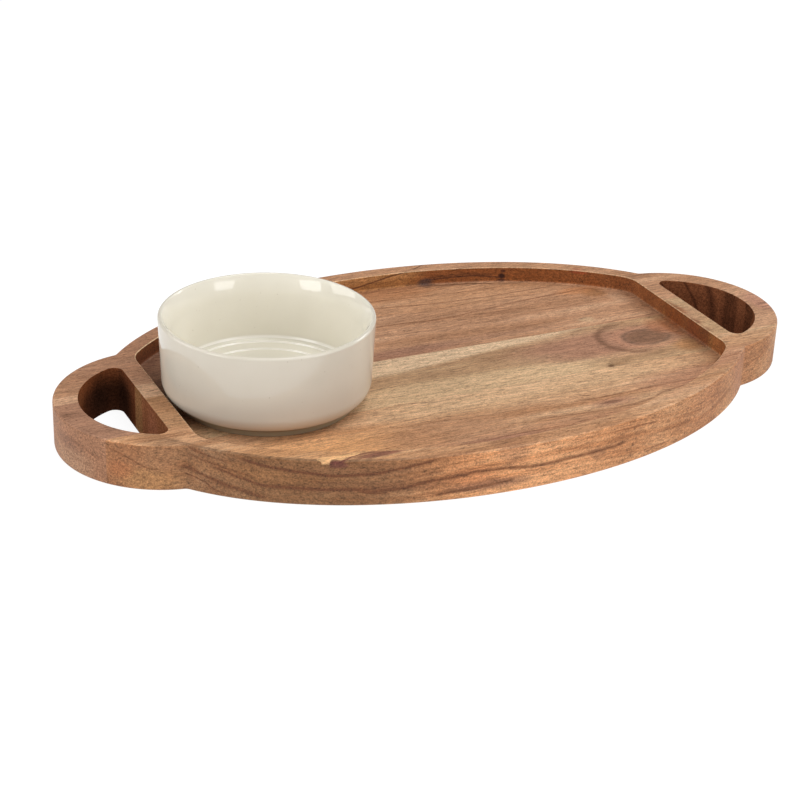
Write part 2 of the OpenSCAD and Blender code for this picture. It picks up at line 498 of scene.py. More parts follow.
class Nodes:
    """Short calls that build one material's node tree."""

    def __init__(self, name):
        self.material = bpy.data.materials.new(name)
        self.material.use_nodes = True
        self.tree = self.material.node_tree
        self.shader = self.tree.nodes["Principled BSDF"]

    def put(self, socket, value):
        if isinstance(value, Value):
            self.tree.links.new(value.socket, socket)
        else:
            socket.default_value = value

    def make(self, kind, inputs, output=0, **settings):
        node = self.tree.nodes.new("ShaderNode" + kind)
        for key, value in settings.items():
            setattr(node, key, value)
        for key, value in inputs.items():
            self.put(node.inputs[key], value)
        return Value(self, node.outputs[output])

    def set(self, **inputs):
        """Sets inputs of the material's own shader."""
        for key, value in inputs.items():
            self.put(self.shader.inputs[key.replace("_", " ").title().replace("Ior", "IOR")], value)

    def math(self, operation, *values):
        return self.make("Math", dict(enumerate(values)), operation=operation)

    def vector(self, operation, *values, output=0):
        return self.make("VectorMath", dict(enumerate(values)), output, operation=operation)

    def split(self, vector):
        node = self.tree.nodes.new("ShaderNodeSeparateXYZ")
        self.put(node.inputs[0], vector)
        return [Value(self, out) for out in node.outputs]

    def noise(self, vector, size, detail=2.0, rough=0.5, output="Fac"):
        """Noise from about 0 to 1, with lumps of a size in mm along each axis."""
        scaled = self.vector("MULTIPLY", vector, [1 / length for length in size])
        return self.make("TexNoise", {"Vector": scaled, "Scale": 1.0, "Detail": detail, "Roughness": rough},
                         output)

    def noise_of(self, value, detail=2.0, rough=0.5):
        """Noise along one line."""
        return self.make("TexNoise", {"W": value, "Scale": 1.0, "Detail": detail, "Roughness": rough},
                         "Fac", noise_dimensions="1D")

    def step(self, value, low, high):
        """Smooth step: 0 at low, 1 at high. Low may be the larger of the two."""
        if low > high:
            return 1.0 - self.step(value, high, low)
        return self.make("MapRange", {"Value": value, "From Min": low, "From Max": high},
                         interpolation_type="SMOOTHSTEP")

    def place(self):
        """Where a point lies in the frame, in mm."""
        return self.vector("MULTIPLY", self.make("TexCoord", {}, "Object"), (1 / MM, 1 / MM, 1 / MM))

    def absolute(self, value):
        return self.math("ABSOLUTE", value)

    def scaled(self, colour, factor):
        """A colour made lighter or darker by a factor."""
        return self.make("VectorMath", {0: colour, "Scale": factor}, operation="SCALE")

    def mix(self, amount, a, b, blend="MIX"):
        """Two colours mixed. The node lists the sockets of every data type, and these are the colour's."""
        node = self.tree.nodes.new("ShaderNodeMix")
        node.data_type = "RGBA"
        node.blend_type = blend
        self.put(node.inputs[0], amount)
        self.put(node.inputs[6], a)
        self.put(node.inputs[7], b)
        return Value(self, node.outputs[2])

    def ramp(self, value, stops):
        node = self.tree.nodes.new("ShaderNodeValToRGB")
        self.put(node.inputs[0], value)
        points = node.color_ramp.elements
        while len(points) < len(stops):
            points.new(0.5)
        for point, (place, colour) in zip(points, stops):
            point.position = place
            point.color = colour
        return Value(self, node.outputs[0])

    def curve(self, value, points, low, high):
        """A smooth curve through points (value, height), with heights from low to high."""
        x0, x1 = points[0][0], points[-1][0]
        node = self.tree.nodes.new("ShaderNodeFloatCurve")
        shape = node.mapping.curves[0].points
        while len(shape) < len(points):
            shape.new(0.5, 0.5)
        for knot, (x, y) in zip(shape, points):
            knot.location = ((x - x0) / (x1 - x0), (y - low) / (high - low))
        node.mapping.update()
        self.put(node.inputs["Value"], (value - x0) / (x1 - x0))
        return Value(self, node.outputs[0]) * (high - low) + low


def rgb(red, green, blue):
    """A colour given as it looks on a screen, 0 to 255, as linear numbers for a shader."""
    def linear(c):
        c /= 255
        return c / 12.92 if c < 0.04045 else ((c + 0.055) / 1.055) ** 2.4

    return (linear(red), linear(green), linear(blue), 1.0)


# ---------------------------------------------------------------- wood
DARK_LINE = rgb(98, 56, 32)
PORE = rgb(150, 118, 96)
# Colour of the painted highlight on the recess's upper edges
EDGE_HIGHLIGHT = rgb(232, 200, 160)
TORN = rgb(104, 58, 48)
GUM = rgb(78, 44, 28)
# Where the four shades of a wood lie between its darkest and its lightest tone
SHADE_STOPS = (0.10, 0.38, 0.60, 0.90)
# How far one step of the seed shifts the noise along each axis
SEED_SHIFT = (37.0, 11.0, 5.0)
# Distances between wide rings, fine rings and dark rings
BAND_PITCH = 12.0
LINE_PITCH = 2.2
LATE_PITCH = 5.0


class Wood(Nodes):
    """Hardwood with growth rings round a pith line that runs along X, painted over with its own marks.

    pith is (y, z) in mm. squash is how much closer together the rings lie in front of and behind it.
    shades are four colours, from the dark rings to the light ones. figure is the rings' contrast."""

    def __init__(self, name, pith, shades, seed, figure, squash=(1.0, 1.0)):
        super().__init__(name)
        place = self.place()
        self.raw_x, self.raw_y, self.raw_z = self.split(place)
        self.shifted = self.vector("ADD", place, [seed * shift for shift in SEED_SHIFT])
        # raw is the true place. near is bent a little, for painted marks, and the rings are bent further
        slow = self.wobble((120, 38, 38), (30, 8, 8))
        quick = self.wobble((26, 8, 8), (6, 1.5, 1.5))
        self.near = self.vector("ADD", place, quick)
        self.x, self.y, self.z = self.split(self.near)
        self.bent = self.vector("ADD", self.near, slow)
        self.find_walls()
        tone = self.ring_tone(pith, squash, seed, figure)
        self.colour = self.ramp(tone, list(zip(SHADE_STOPS, shades)))

    def ring_tone(self, pith, squash, seed, figure):
        """How light the wood is: wide bands, fine lines and dark late wood, in rings round the pith."""
        y, z = self.split(self.bent)[1:]
        across, up = y - pith[0], z - pith[1]
        across = self.math("MAXIMUM", across, 0.0) * squash[1] + self.math("MINIMUM", across, 0.0) * squash[0]
        ring = self.math("SQRT", across * across + up * up)
        bands = self.noise_of(ring / BAND_PITCH + seed, 3.0, 0.6)
        lines = self.noise_of(ring / LINE_PITCH + seed, 2.0, 0.6)
        late = self.step(self.noise_of(ring / LATE_PITCH + 3.0 * seed, 1.0), 0.58, 0.72)
        patchy = self.noise(self.shifted, (80, 13, 13))
        contrast = 1.1 * (bands - 0.5) + 0.55 * (lines - 0.5) - 0.22 * late * self.step(patchy, 0.35, 0.65)
        return 0.5 + figure * contrast + 0.7 * (patchy - 0.5)

    def wobble(self, size, reach):
        """A smooth random shift of up to about half of reach along each axis."""
        noise = self.noise(self.shifted, size, 1.0, output="Color")
        return self.vector("MULTIPLY", self.vector("SUBTRACT", noise, (0.5, 0.5, 0.5)), reach)

    def oval(self, inset=0.0):
        """A value that is 1 on the oval this far inside the board's edge, and less within it."""
        x, y = self.raw_x, self.raw_y
        return x * x / (OVAL_A - inset) ** 2 + y * y / (OVAL_B - inset) ** 2

    def find_walls(self):
        """Masks of the cut walls: all of them, the recess's and the hand holes'."""
        self.level = self.absolute(self.split(self.make("TexCoord", {}, "Normal"))[2])
        self.reach = self.absolute(self.raw_x)
        self.wall = self.step(self.level, 0.90, 0.45)
        in_recess = self.step(self.oval(RIM_W), 1.06, 1.03)
        self.recess = in_recess * self.step(self.reach, RECESS_X + 1.2, RECESS_X + 0.6) * self.wall
        beside = self.reach - HANDLE_X
        in_hole = self.step(beside * beside + self.raw_y * self.raw_y, (HOLE_R + 2) ** 2, (HOLE_R + 1) ** 2)
        self.hole = in_hole * self.step(self.reach, HOLE_FLAT_X - 1.2, HOLE_FLAT_X - 0.6) * self.wall

    def paint(self, mask, colour, amount=1.0):
        self.colour = self.mix(mask * amount, self.colour, colour)

    def distance(self, centre, size):
        """1 on the skin of an ellipsoid with these half sizes, less inside it."""
        away = self.vector("DIVIDE", self.vector("SUBTRACT", self.near, centre), size)
        return self.vector("LENGTH", away, output="Value")

    def spot(self, centre, size, soft=0.5):
        """A filled ellipsoid with a soft skin."""
        return self.step(self.distance(centre, size), 1.0 + soft, 1.0 - soft)

    def ring(self, distance, place, half_width):
        """A soft ring at one distance from a centre."""
        return self.step(self.absolute(distance - place), half_width, 0.0)

    def streak(self, along, height, points, half_width, fade=6.0):
        """A line through points, soft to its sides, that fades out at both ends."""
        levels = [v for _, v in points]
        low, high = min(levels) - 1.0, max(levels) + 1.0
        middle = self.curve(along, points, low, high)
        line = self.step(self.absolute(height - middle), half_width, 0.0)
        start, end = points[0][0], points[-1][0]
        return line * self.step(along, start, start + fade) * self.step(along, end, end - fade)

    def within(self, value, low, high, soft=1.0):
        """1 between low and high, with soft ends."""
        return self.step(value, low - soft, low + soft) * self.step(value, high + soft, high - soft)

    def spots(self, *marks):
        """Soft ellipsoids of colour: centre, half sizes, colour, amount."""
        for centre, size, colour, amount in marks:
            self.paint(self.spot(centre, size), colour, amount)

    def streaks(self, along, height, where, colour, marks, fade=6.0):
        """Lines of colour: points, half width, amount."""
        for points, half_width, amount in marks:
            self.paint(self.streak(along, height, points, half_width, fade) * where, colour, amount)

    def shade(self, where, along, points):
        """Makes the wood lighter or darker along one direction."""
        levels = [v for _, v in points]
        factor = self.curve(along, points, min(levels) - 0.05, max(levels) + 0.05)
        self.colour = self.mix(where, self.colour, self.scaled(self.colour, factor))

    def paint_shade(self):
        """Darkens the cut walls a little for their grain, and paints shade on the recess and hole walls,
        darker towards the holes' bottom, and in the recess's nooks.
        """
        bed = self.step(self.raw_z, 24.0, 20.0) * (1.0 - self.wall)
        nook = 0.8 * self.step(self.raw_x, RECESS_X - 15.0, RECESS_X + 1.0)
        back = 0.4 * self.step(self.oval(RIM_W), 0.88, 1.0) * self.step(self.raw_y, 0.0, 30.0)
        for mask, tint in (
                (self.wall, (0.90, 0.78, 0.66, 1)),
                (self.recess, (0.61, 0.44, 0.28, 1)),
                (self.hole, (0.47, 0.33, 0.26, 1)),
                (self.hole * self.step(self.raw_z, BOARD_T, 2.0), (0.60, 0.52, 0.48, 1)),
                (bed * self.math("MAXIMUM", nook, back), (0.44, 0.36, 0.30, 1))):
            self.colour = self.mix(mask, self.colour, tint, "MULTIPLY")

    def edge_highlight(self):
        """A painted highlight along the upper edges of the recess."""
        inside = self.step(self.oval(RIM_W - 1.5), 1.01, 0.99)
        inside = inside * self.step(self.reach, RECESS_X + 1.6, RECESS_X + 1.2)
        curved = self.step(self.level, 0.995, 0.93) * self.step(self.level, 0.05, 0.25)
        strength = 0.45 + 0.45 * self.step(self.raw_x, 0.0, -40.0)
        return curved * self.step(self.raw_z, 25.0, 26.0) * inside * strength

    def finish(self, depth=1.0):
        """Lays the fine fibres and the pores over the colour, and gives both a height."""
        fibre = self.noise(self.bent, (18, 1.2, 1.2), 3.0, 0.7)
        grain = self.noise(self.near, (5.0, 1.1, 1.1), 2.0, 0.6)
        grit = self.noise(self.near, (0.9, 0.8, 0.8), 1.0)
        pores = self.step(self.noise(self.near, (3.0, 0.8, 0.8), 1.0), 0.60, 0.70)
        # A painted highlight on the recess's upper edges
        colour = self.mix(self.edge_highlight(), self.colour, EDGE_HIGHLIGHT)
        light = 1.10 + depth * (1.6 * (fibre - 0.5) + 1.3 * (grain - 0.5))
        light = light + (1.0 + 0.6 * self.wall) * (grit - 0.5)
        colour = self.scaled(colour, light)
        colour = self.mix(0.5 * pores * (1.0 - 0.8 * self.wall), colour, PORE, "MULTIPLY")
        relief = fibre + 0.5 * grit - pores
        bump = self.make("Bump", {"Strength": 0.3, "Distance": 0.0002, "Height": relief}, "Normal")
        self.set(base_color=colour, roughness=0.52 + 0.2 * fibre, normal=bump,
                 specular_ior_level=0.3 * (1.0 - self.hole))
        return self.material


def front_wood():
    w = Wood("front_wood", pith=(-105, 40), squash=(1.0, 0.62), seed=1.0, figure=0.7, shades=[
        rgb(120, 80, 52), rgb(170, 124, 88), rgb(190, 148, 112), rgb(212, 176, 140)])
    x, y, z = w.x, w.y, w.z
    w.spots(((30, -48, 17), (100, 15, 30), rgb(206, 172, 134), 0.6),
            ((-95, -85, 17), (60, 25, 30), rgb(180, 132, 86), 0.55),
            ((-35, -82, 17), (40, 16, 30), rgb(166, 122, 92), 0.5),
            ((45, -98, 17), (95, 9, 30), rgb(176, 128, 98), 0.4),
            ((-12, -101, 17), (32, 6, 30), rgb(150, 106, 84), 0.75),
            ((-14, -105, 17), (14, 2.6, 5), rgb(124, 82, 62), 0.6),
            ((142, -68, 17), (44, 12, 40), rgb(172, 124, 98), 0.55),
            ((74, -80.5, 17), (15, 4.5, 30), rgb(158, 110, 86), 0.55),
            ((73, -80.5, 17), (7, 1.6, 30), rgb(104, 68, 52), 0.75),
            # A painted pool of light on the floor at the recess's front left corner
            ((-125, -78, 17), (50, 20, 5), rgb(216, 162, 112), 0.5))
    on_top = w.step(z, 14.0, 16.0)
    w.streaks(x, y, on_top, DARK_LINE, (
        ([(-62, -38.5), (-40, -40.5), (-20, -44), (8, -43.5)], 1.0, 0.4),
        ([(-60, -66), (-30, -67), (0, -70), (40, -69)], 1.2, 0.35),
        ([(18, -84), (45, -86.5), (62, -88), (90, -86), (108, -80), (128, -76)], 1.6, 0.5),
        ([(52, -71), (80, -73), (110, -71), (140, -71), (170, -65)], 1.4, 0.45),
        ([(-50, -95), (-20, -97), (10, -96), (40, -98)], 1.3, 0.3),
        ([(-10, -59), (25, -61), (60, -60), (95, -57)], 0.9, 0.25),
        ([(30, -92), (60, -93), (90, -91)], 0.9, 0.3)))
    w.paint_shade()
    paint_front_wall(w)
    paint_left_handle(w)
    paint_chip(w)
    return w.finish()


def paint_front_wall(w):
    """The outer wall of the oval: nested arcs of dark rings, lowest left of the middle."""
    wall = w.step(w.oval(), 0.97, 0.985)
    # Painted shade and light along the wall, darker at the left and lighter right of the middle, partly the
    # wood's own tone
    w.shade(wall, w.raw_x, [(-190, 0.85), (-120, 0.52), (-60, 1.0), (-20, 1.42), (30, 1.28), (80, 1.10),
                            (190, 0.93)])
    w.spots(((-16, -127, 24), (9, 40, 7), rgb(140, 98, 70), 0.5),
            ((-28, -127, 7), (22, 40, 3), rgb(112, 76, 60), 0.6),
            ((-40, -124, 13), (13, 40, 4.5), rgb(190, 122, 80), 0.35),
            ((38, -125, 13), (5, 40, 3.5), rgb(136, 94, 66), 0.5),
            ((-110, -108, 20), (45, 14, 2.5), rgb(124, 82, 56), 0.3),
            ((-112, -106, 10), (50, 14, 2.0), rgb(124, 82, 56), 0.3),
            ((-72, -118, 10.5), (22, 12, 2.5), rgb(118, 76, 50), 0.45))
    w.streaks(w.x, w.z, wall, DARK_LINE, (
        ([(-154, 26), (-146, 22.5), (-138, 21), (-128, 20), (-118, 18.7), (-100, 18.4), (-92, 19),
          (-82, 20.6), (-75, 22), (-66, 24), (-58, 26.5)], 1.7, 0.85),
        ([(-168, 18), (-160, 15.5), (-150, 12.5), (-140, 10.3), (-120, 10), (-100, 10), (-92, 8.9),
          (-80, 9.3), (-70, 11), (-62, 12.8), (-50, 14), (-30, 15.5), (0, 13.8), (30, 14), (60, 14.5)],
         1.9, 0.8),
        ([(-100, 9.4), (-91, 7.6), (-80, 7.4)], 0.9, 0.75),
        ([(-181, 15), (-170, 12), (-160, 8), (-150, 5), (-140, 3)], 2.0, 0.7),
        ([(-179, 11), (-170, 7.5), (-165, 4.6), (-159, 1.5)], 0.9, 0.85),
        ([(-179, 22.5), (-168, 19.8), (-158, 17.2), (-146, 15)], 1.5, 0.6),
        ([(-177, 26.5), (-166, 22.8), (-156, 20.5)], 1.3, 0.6),
        ([(-125, 14.5), (-95, 13.5), (-80, 14), (-64, 17), (-52, 19)], 1.3, 0.45),
        ([(-62, 4.5), (-45, 5.6), (-32, 6.4), (-14, 8.2)], 1.7, 0.75),
        ([(49, 22.8), (58, 22.2), (68, 21.6), (80, 20)], 0.7, 0.65),
        ([(68, 5.2), (80, 4.8), (96, 4.4)], 0.8, 0.5),
        ([(12, 19.5), (22, 19), (30, 20.5), (38, 20)], 0.7, 0.4),
        ([(126, 18.5), (134, 17.5), (142, 16)], 0.8, 0.5),
        ([(70, 13.5), (90, 12), (112, 11)], 1.0, 0.3)), 5.0)


def paint_left_handle(w):
    """The front part of the left handle's outer wall."""
    grip = w.step(w.raw_x, -182.0, -184.0) * w.step(w.raw_z, 26.6, 26.0)
    w.paint(grip, rgb(136, 90, 58), 0.8)
    w.spots(((-195, -54, 6), (16, 14, 7), rgb(170, 124, 80), 0.7),
            ((-208, -46, 11), (6, 8, 5), rgb(168, 106, 66), 0.6),
            ((-190, -58, 20), (10, 8, 8), rgb(166, 122, 86), 0.5))
    w.streaks(w.raw_x, w.z, grip, DARK_LINE, (
        ([(-213, 22.5), (-209, 21.6), (-204, 19), (-199, 15.5), (-194, 13.3), (-189, 12.8)], 1.0, 0.6),
        ([(-213, 17), (-207, 13.5), (-200, 9), (-192, 7)], 1.2, 0.3),
        ([(-200, 24), (-192, 20), (-184, 17)], 0.9, 0.3)), 2.0)


def paint_chip(w):
    """A chip in the rim, pale inside with a dark torn edge."""
    x, y = w.raw_x, w.raw_y
    soft = 0.25
    rim = w.step(w.raw_z, 24.5, 25.2)
    back = w.curve(x, [(-119, -101.4), (-115, -100.2), (-109, -101.3), (-102, -101.8), (-97, -101.7),
                       (-94, -103)], -108, -98)
    front = w.curve(x, [(-119, -101.8), (-117, -103.2), (-115, -106.2), (-113, -105.2), (-110, -104.7),
                        (-106.5, -106.6), (-102.5, -104.8), (-99, -104.7), (-94, -103)], -108, -98)
    chip = w.within(x, -118.6, -94.5, 0.3) * w.step(y - back, soft, -soft) * w.step(y - front, -soft, soft)
    w.paint(w.spot((-110, -107, 24.6), (6, 8, 2.0), 0.4) * (1.0 - chip), TORN, 0.8)
    w.paint(w.spot((-84, -107.5, 27), (14, 2.6, 4), 0.4), TORN, 0.8)
    w.streaks(x, y, rim * (1.0 - chip), TORN, [
        ([(-119, -102.5), (-115, -107.4), (-112, -106), (-107, -107.4), (-100, -105.2), (-92, -104.2),
          (-78, -104.8), (-68, -106.5)], 1.1, 0.9)], 3.0)
    w.paint(chip * rim, rgb(208, 162, 114), 0.9)


def centre_wood():
    w = Wood("centre_wood", pith=(-20, 90), seed=2.0, figure=0.45, shades=[
        rgb(128, 94, 66), rgb(168, 132, 98), rgb(184, 150, 114), rgb(200, 168, 134)])
    x, y = w.x, w.y
    # The pale band lies behind a line that wanders along the stave
    edge = w.curve(x, [(-240, 6), (-180, 0), (-120, -2), (-40, -3), (0, 1), (40, 7), (80, 11), (110, 16),
                       (240, 22)], -10, 30)
    w.paint(w.step(y - edge, -3.0, 3.0), rgb(212, 182, 148), 0.8)
    w.paint(w.step(y, -15, -25) * w.step(x, 115, 70), rgb(204, 172, 134), 0.7)
    w.spots(((112, -7, 17), (58, 17, 40), rgb(160, 116, 92), 0.9),
            ((92, -20, 17), (26, 5, 30), rgb(156, 112, 88), 0.5),
            ((122, -26, 17), (20, 4, 30), rgb(196, 152, 118), 0.45),
            ((158, -28, 17), (9, 8, 6), rgb(172, 118, 72), 0.6))
    left_bar = w.step(x, -150, -165)
    w.paint(left_bar * w.step(y, 1.5, -1.0), rgb(158, 112, 76), 0.8)
    w.paint(left_bar * w.step(y, -0.5, 1.0), rgb(186, 146, 116), 0.85)
    # The knot, with rings round it and a halo at its left
    knot = w.distance((139, -9, 17), (13.5, 9.5, 30))
    w.paint(w.step(knot, 1.15, 0.75), rgb(122, 88, 66), 0.9)
    w.paint(w.ring(knot, 1.08, 0.25), rgb(104, 78, 62), 0.6)
    w.paint(w.ring(knot, 1.48, 0.35), rgb(180, 130, 102), 0.5)
    halo = w.ring(w.distance((131, -7, 17), (22, 20, 30)), 1.0, 0.22) * w.step(x, 146, 118)
    w.paint(halo, rgb(108, 74, 54), 0.7)
    w.spots(((155, 3, 17), (7, 10, 20), rgb(176, 112, 76), 0.5),
            ((162, -2, 17), (4, 16, 6), rgb(160, 96, 54), 0.5),
            ((98.5, -38, 17), (2.0, 1.7, 20), rgb(80, 52, 32), 0.9),
            ((103, -37, 17), (5, 2.2, 20), rgb(150, 112, 78), 0.5))
    # The end walls: the hand holes' flat walls and the right one of the recess
    w.paint_shade()
    w.paint(w.hole, rgb(124, 80, 56), 0.6)
    w.paint(w.hole * w.spot((-178, 11, 14), (4, 6.5, 30), 0.3), rgb(128, 94, 60), 0.6)
    w.paint(w.hole * w.spot((-178, -14, 12), (4, 9, 14)), rgb(134, 84, 62), 0.5)
    w.spots(((167, 4, 22), (3, 12, 12), rgb(126, 66, 28), 0.7),
            ((167, -19, 22), (3, 8, 12), rgb(112, 50, 24), 0.6),
            ((167, -31, 22), (3, 5, 12), rgb(96, 42, 24), 0.5))
    return w.finish(0.9)


def left_grip_wood():
    w = Wood("left_grip_wood", pith=(-20, 90), seed=3.0, figure=0.5, shades=[
        rgb(116, 80, 58), rgb(152, 112, 88), rgb(168, 126, 100), rgb(186, 146, 118)])
    w.paint(w.step(w.y, 6.5, 8.5) * w.step(w.z, 20, 24), rgb(196, 154, 122), 0.9)
    w.paint_shade()
    w.paint(w.wall * (1.0 - w.hole), rgb(148, 106, 78), 0.6)
    w.spots(((-226, -20, 6), (9, 20, 8), rgb(162, 126, 98), 0.6),
            ((-226, -14, 16), (6, 12, 4), rgb(122, 86, 66), 0.6))
    # Painted shade on the back part of the hand hole's wall
    w.paint(w.hole * w.step(w.y, -10, 10), rgb(70, 42, 28), 0.6)
    w.streaks(w.y, w.z, 1.0, DARK_LINE, (
        ([(-41, 13), (-34, 15.5), (-26, 18), (-14, 19)], 1.3, 0.3),
        ([(-41, 6), (-30, 8), (-16, 9), (-4, 11)], 1.6, 0.25)))
    return w.finish()


def right_grip_wood():
    w = Wood("right_grip_wood", pith=(-20, 90), seed=5.0, figure=0.5, shades=[
        rgb(130, 90, 66), rgb(172, 130, 100), rgb(188, 146, 114), rgb(204, 166, 132)])
    w.spots(((224, -6, 27), (8, 14, 16), rgb(176, 126, 106), 0.6),
            ((224, -20, 9), (10, 14, 5), rgb(178, 124, 92), 0.4))
    w.paint_shade()
    w.paint(w.hole, rgb(92, 56, 40), 0.5)
    w.streaks(w.y, w.x, w.hole, rgb(52, 28, 18), (
        ([(-30, 208), (-18, 211), (-4, 214)], 2.0, 0.6),
        ([(2, 214), (8, 213), (16, 212)], 3.0, 0.6)), 3.0)
    return w.finish()


def back_wood():
    w = Wood("back_wood", pith=(150, -30), seed=4.0, figure=0.38, shades=[
        rgb(118, 78, 54), rgb(166, 122, 90), rgb(182, 138, 106), rgb(200, 160, 126)])
    x, y, z = w.x, w.y, w.z
    w.spots(((-8, 23, 17), (36, 6, 30), rgb(142, 100, 80), 0.7),
            ((30, 26, 17), (70, 3, 30), rgb(150, 112, 90), 0.35),
            ((70, 88, 17), (70, 16, 30), rgb(184, 136, 96), 0.35),
            ((8, 108, 17), (40, 12, 5), rgb(160, 108, 70), 0.6),
            ((137, 70, 17), (16, 5, 6), rgb(186, 124, 78), 0.6),
            ((144, 63, 17), (7, 6, 5), rgb(156, 104, 62), 0.55),
            ((118, 27, 17), (5, 3, 5), rgb(196, 176, 140), 0.35),
            ((156, 52, 17), (6, 8, 6), rgb(196, 158, 128), 0.4),
            ((-165, 60, 27), (50, 60, 16), rgb(146, 106, 84), 0.55),
            # Painted shade on the recess floor at its back left end
            ((-150, 50, 17), (24, 50, 6), rgb(132, 92, 72), 0.6))
    on_top = w.step(z, 14.0, 16.0)
    w.streaks(x, y, on_top, DARK_LINE, (
        ([(-20, 95), (0, 90), (20, 86), (40, 83), (60, 82), (90, 81), (125, 82)], 1.3, 0.55),
        ([(-15, 63), (5, 62), (30, 60), (60, 63), (100, 68), (130, 70), (149, 70)], 1.3, 0.55),
        ([(-30, 50), (10, 47), (60, 46), (110, 50), (150, 48)], 1.5, 0.2),
        ([(-15, 100), (20, 98), (60, 94), (100, 93)], 1.2, 0.4),
        ([(20, 31), (50, 30), (90, 32), (140, 36)], 0.9, 0.3),
        ([(5, 72), (30, 74), (70, 75), (110, 76)], 0.8, 0.25),
        ([(120, 18.3), (140, 19), (166, 20)], 0.9, 0.5)))
    w.paint_shade()
    paint_gum_line(w)
    paint_back_of_holes(w)
    return w.finish()


def paint_gum_line(w):
    """A gum line over the rim and down the recess wall, and the loop that ends in a small dark knot."""
    x, y, z = w.raw_x, w.raw_y, w.raw_z
    wall = w.within(z, FLOOR_Z + 0.2, BOARD_T - 0.2, 0.3) * w.step(y, 90, 92)
    wall = wall * w.step(w.oval(RIM_W), 1.03, 1.01)
    rim = w.step(z, 26.4, 26.8)
    bed = w.step(z, 18.2, 17.6)
    left_part = wall * w.step(x, 52.0, 30.0)
    # Painted light on the recess wall left of the loop, lighter again towards its top
    w.paint(left_part, rgb(158, 108, 62), 0.85)
    w.paint(left_part * w.step(z, 21.0, 25.0), rgb(184, 134, 86), 0.6)
    w.streaks(x, y, rim, GUM, [([(40, 117), (43, 118.2), (48, 121), (54, 124), (58, 127)], 1.2, 0.85)], 2.0)
    w.streaks(x, z, wall, GUM, [
        ([(-16, 17.5), (-4, 19.5), (7, 21.4), (17, 23.6), (27, 25.8), (42, 27.6)], 0.9, 0.95),
        ([(44, 20), (52, 20.2), (60, 20.8), (70, 21.3), (80, 21.5), (90, 20.6), (97, 20)], 0.8, 0.95),
        ([(50, 21.5), (62, 22.4), (76, 22.8), (92, 22)], 1.6, 0.5),
        ([(101, 25.5), (103, 23.5), (104.5, 21), (104, 18.5)], 0.5, 0.5)], 2.0)
    w.streaks(z, x, wall, GUM, [
        ([(17, 133.5), (20, 131), (23.5, 127), (27, 121)], 0.6, 0.7),
        ([(17, 155.5), (20, 154.5), (23.5, 152), (27, 149)], 0.6, 0.8)], 0.5)
    w.streaks(x, y, bed, GUM, [
        ([(44, 113.2), (52, 110.5), (60, 107.6), (72, 105.2), (83, 102), (92, 98)], 1.2, 0.75)], 4.0)
    w.spots(((48, 113, 18.8), (4.5, 5, 2.4), rgb(82, 60, 52), 0.85),
            ((97.8, 99.6, 21), (1.9, 6, 1.7), rgb(48, 24, 20), 0.95),
            ((98.3, 99.5, 24.4), (1.7, 6, 1.1), rgb(70, 38, 28), 0.8),
            ((97.2, 99.6, 18.2), (2.2, 6, 1.0), rgb(80, 46, 34), 0.8),
            ((141, 78, 25.8), (5, 9, 1.2), rgb(150, 70, 44), 0.6))


def paint_back_of_holes(w):
    """The hand holes' back walls. The left one lies in shade, and the right one has dark lines down it."""
    x, y, z = w.raw_x, w.raw_y, w.raw_z
    shade = w.step(x, -177.0, -178.0) * w.step(y, 17, 34) * w.step(z, 27, 14)
    w.paint(w.hole * w.within(x, -180.0, -177.0), rgb(76, 43, 28), 0.6)
    w.paint(shade * w.hole, rgb(24, 16, 14), 0.75)
    w.paint(w.hole * w.spot((-196, 42, 12), (10, 6, 14)), rgb(26, 16, 12), 0.6)
    w.paint(w.hole * w.spot((-212, 22, 16), (5, 8, 14)), rgb(84, 52, 34), 0.5)
    w.paint(w.hole * w.step(x, 176, 180), rgb(106, 66, 46), 0.5)
    w.streaks(z, x, w.hole * w.step(x, 170, 176), rgb(56, 30, 20), (
        ([(0, 192), (10, 190), (20, 186), (27, 181)], 1.2, 0.7),
        ([(0, 203), (12, 202), (20, 199), (27, 195)], 1.4, 0.7),
        ([(0, 209), (12, 208.5), (27, 206)], 2.4, 0.7)), 0.5)


# The wood of each stave, and its slot
WOODS = {
    "front_stave": (front_wood, "golden_wood"),
    "centre_stave": (centre_wood, "pale_wood"),
    "left_grip_stave": (left_grip_wood, "pale_wood"),
    "right_grip_stave": (right_grip_wood, "pale_wood"),
    "back_stave": (back_wood, "reddish_wood"),
}

for node, piece in staves.items():
    make_wood, slot = WOODS[node]
    piece.data.materials.append(make_wood())
    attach(piece, "board")
    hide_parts(node)


# ---------------------------------------------------------------- glaze
# Radii that lie in the middle of the three steep bands, and their half width
BAND_RADII = (52.7, *[ridge - 0.2 for ridge in RIDGES])
BAND_HALF = 0.45
# Height of the outer curve's top, and height inside the bowl under which the glaze is darker
CURVE_H = 14.0
LOW_INSIDE_H = 14.0


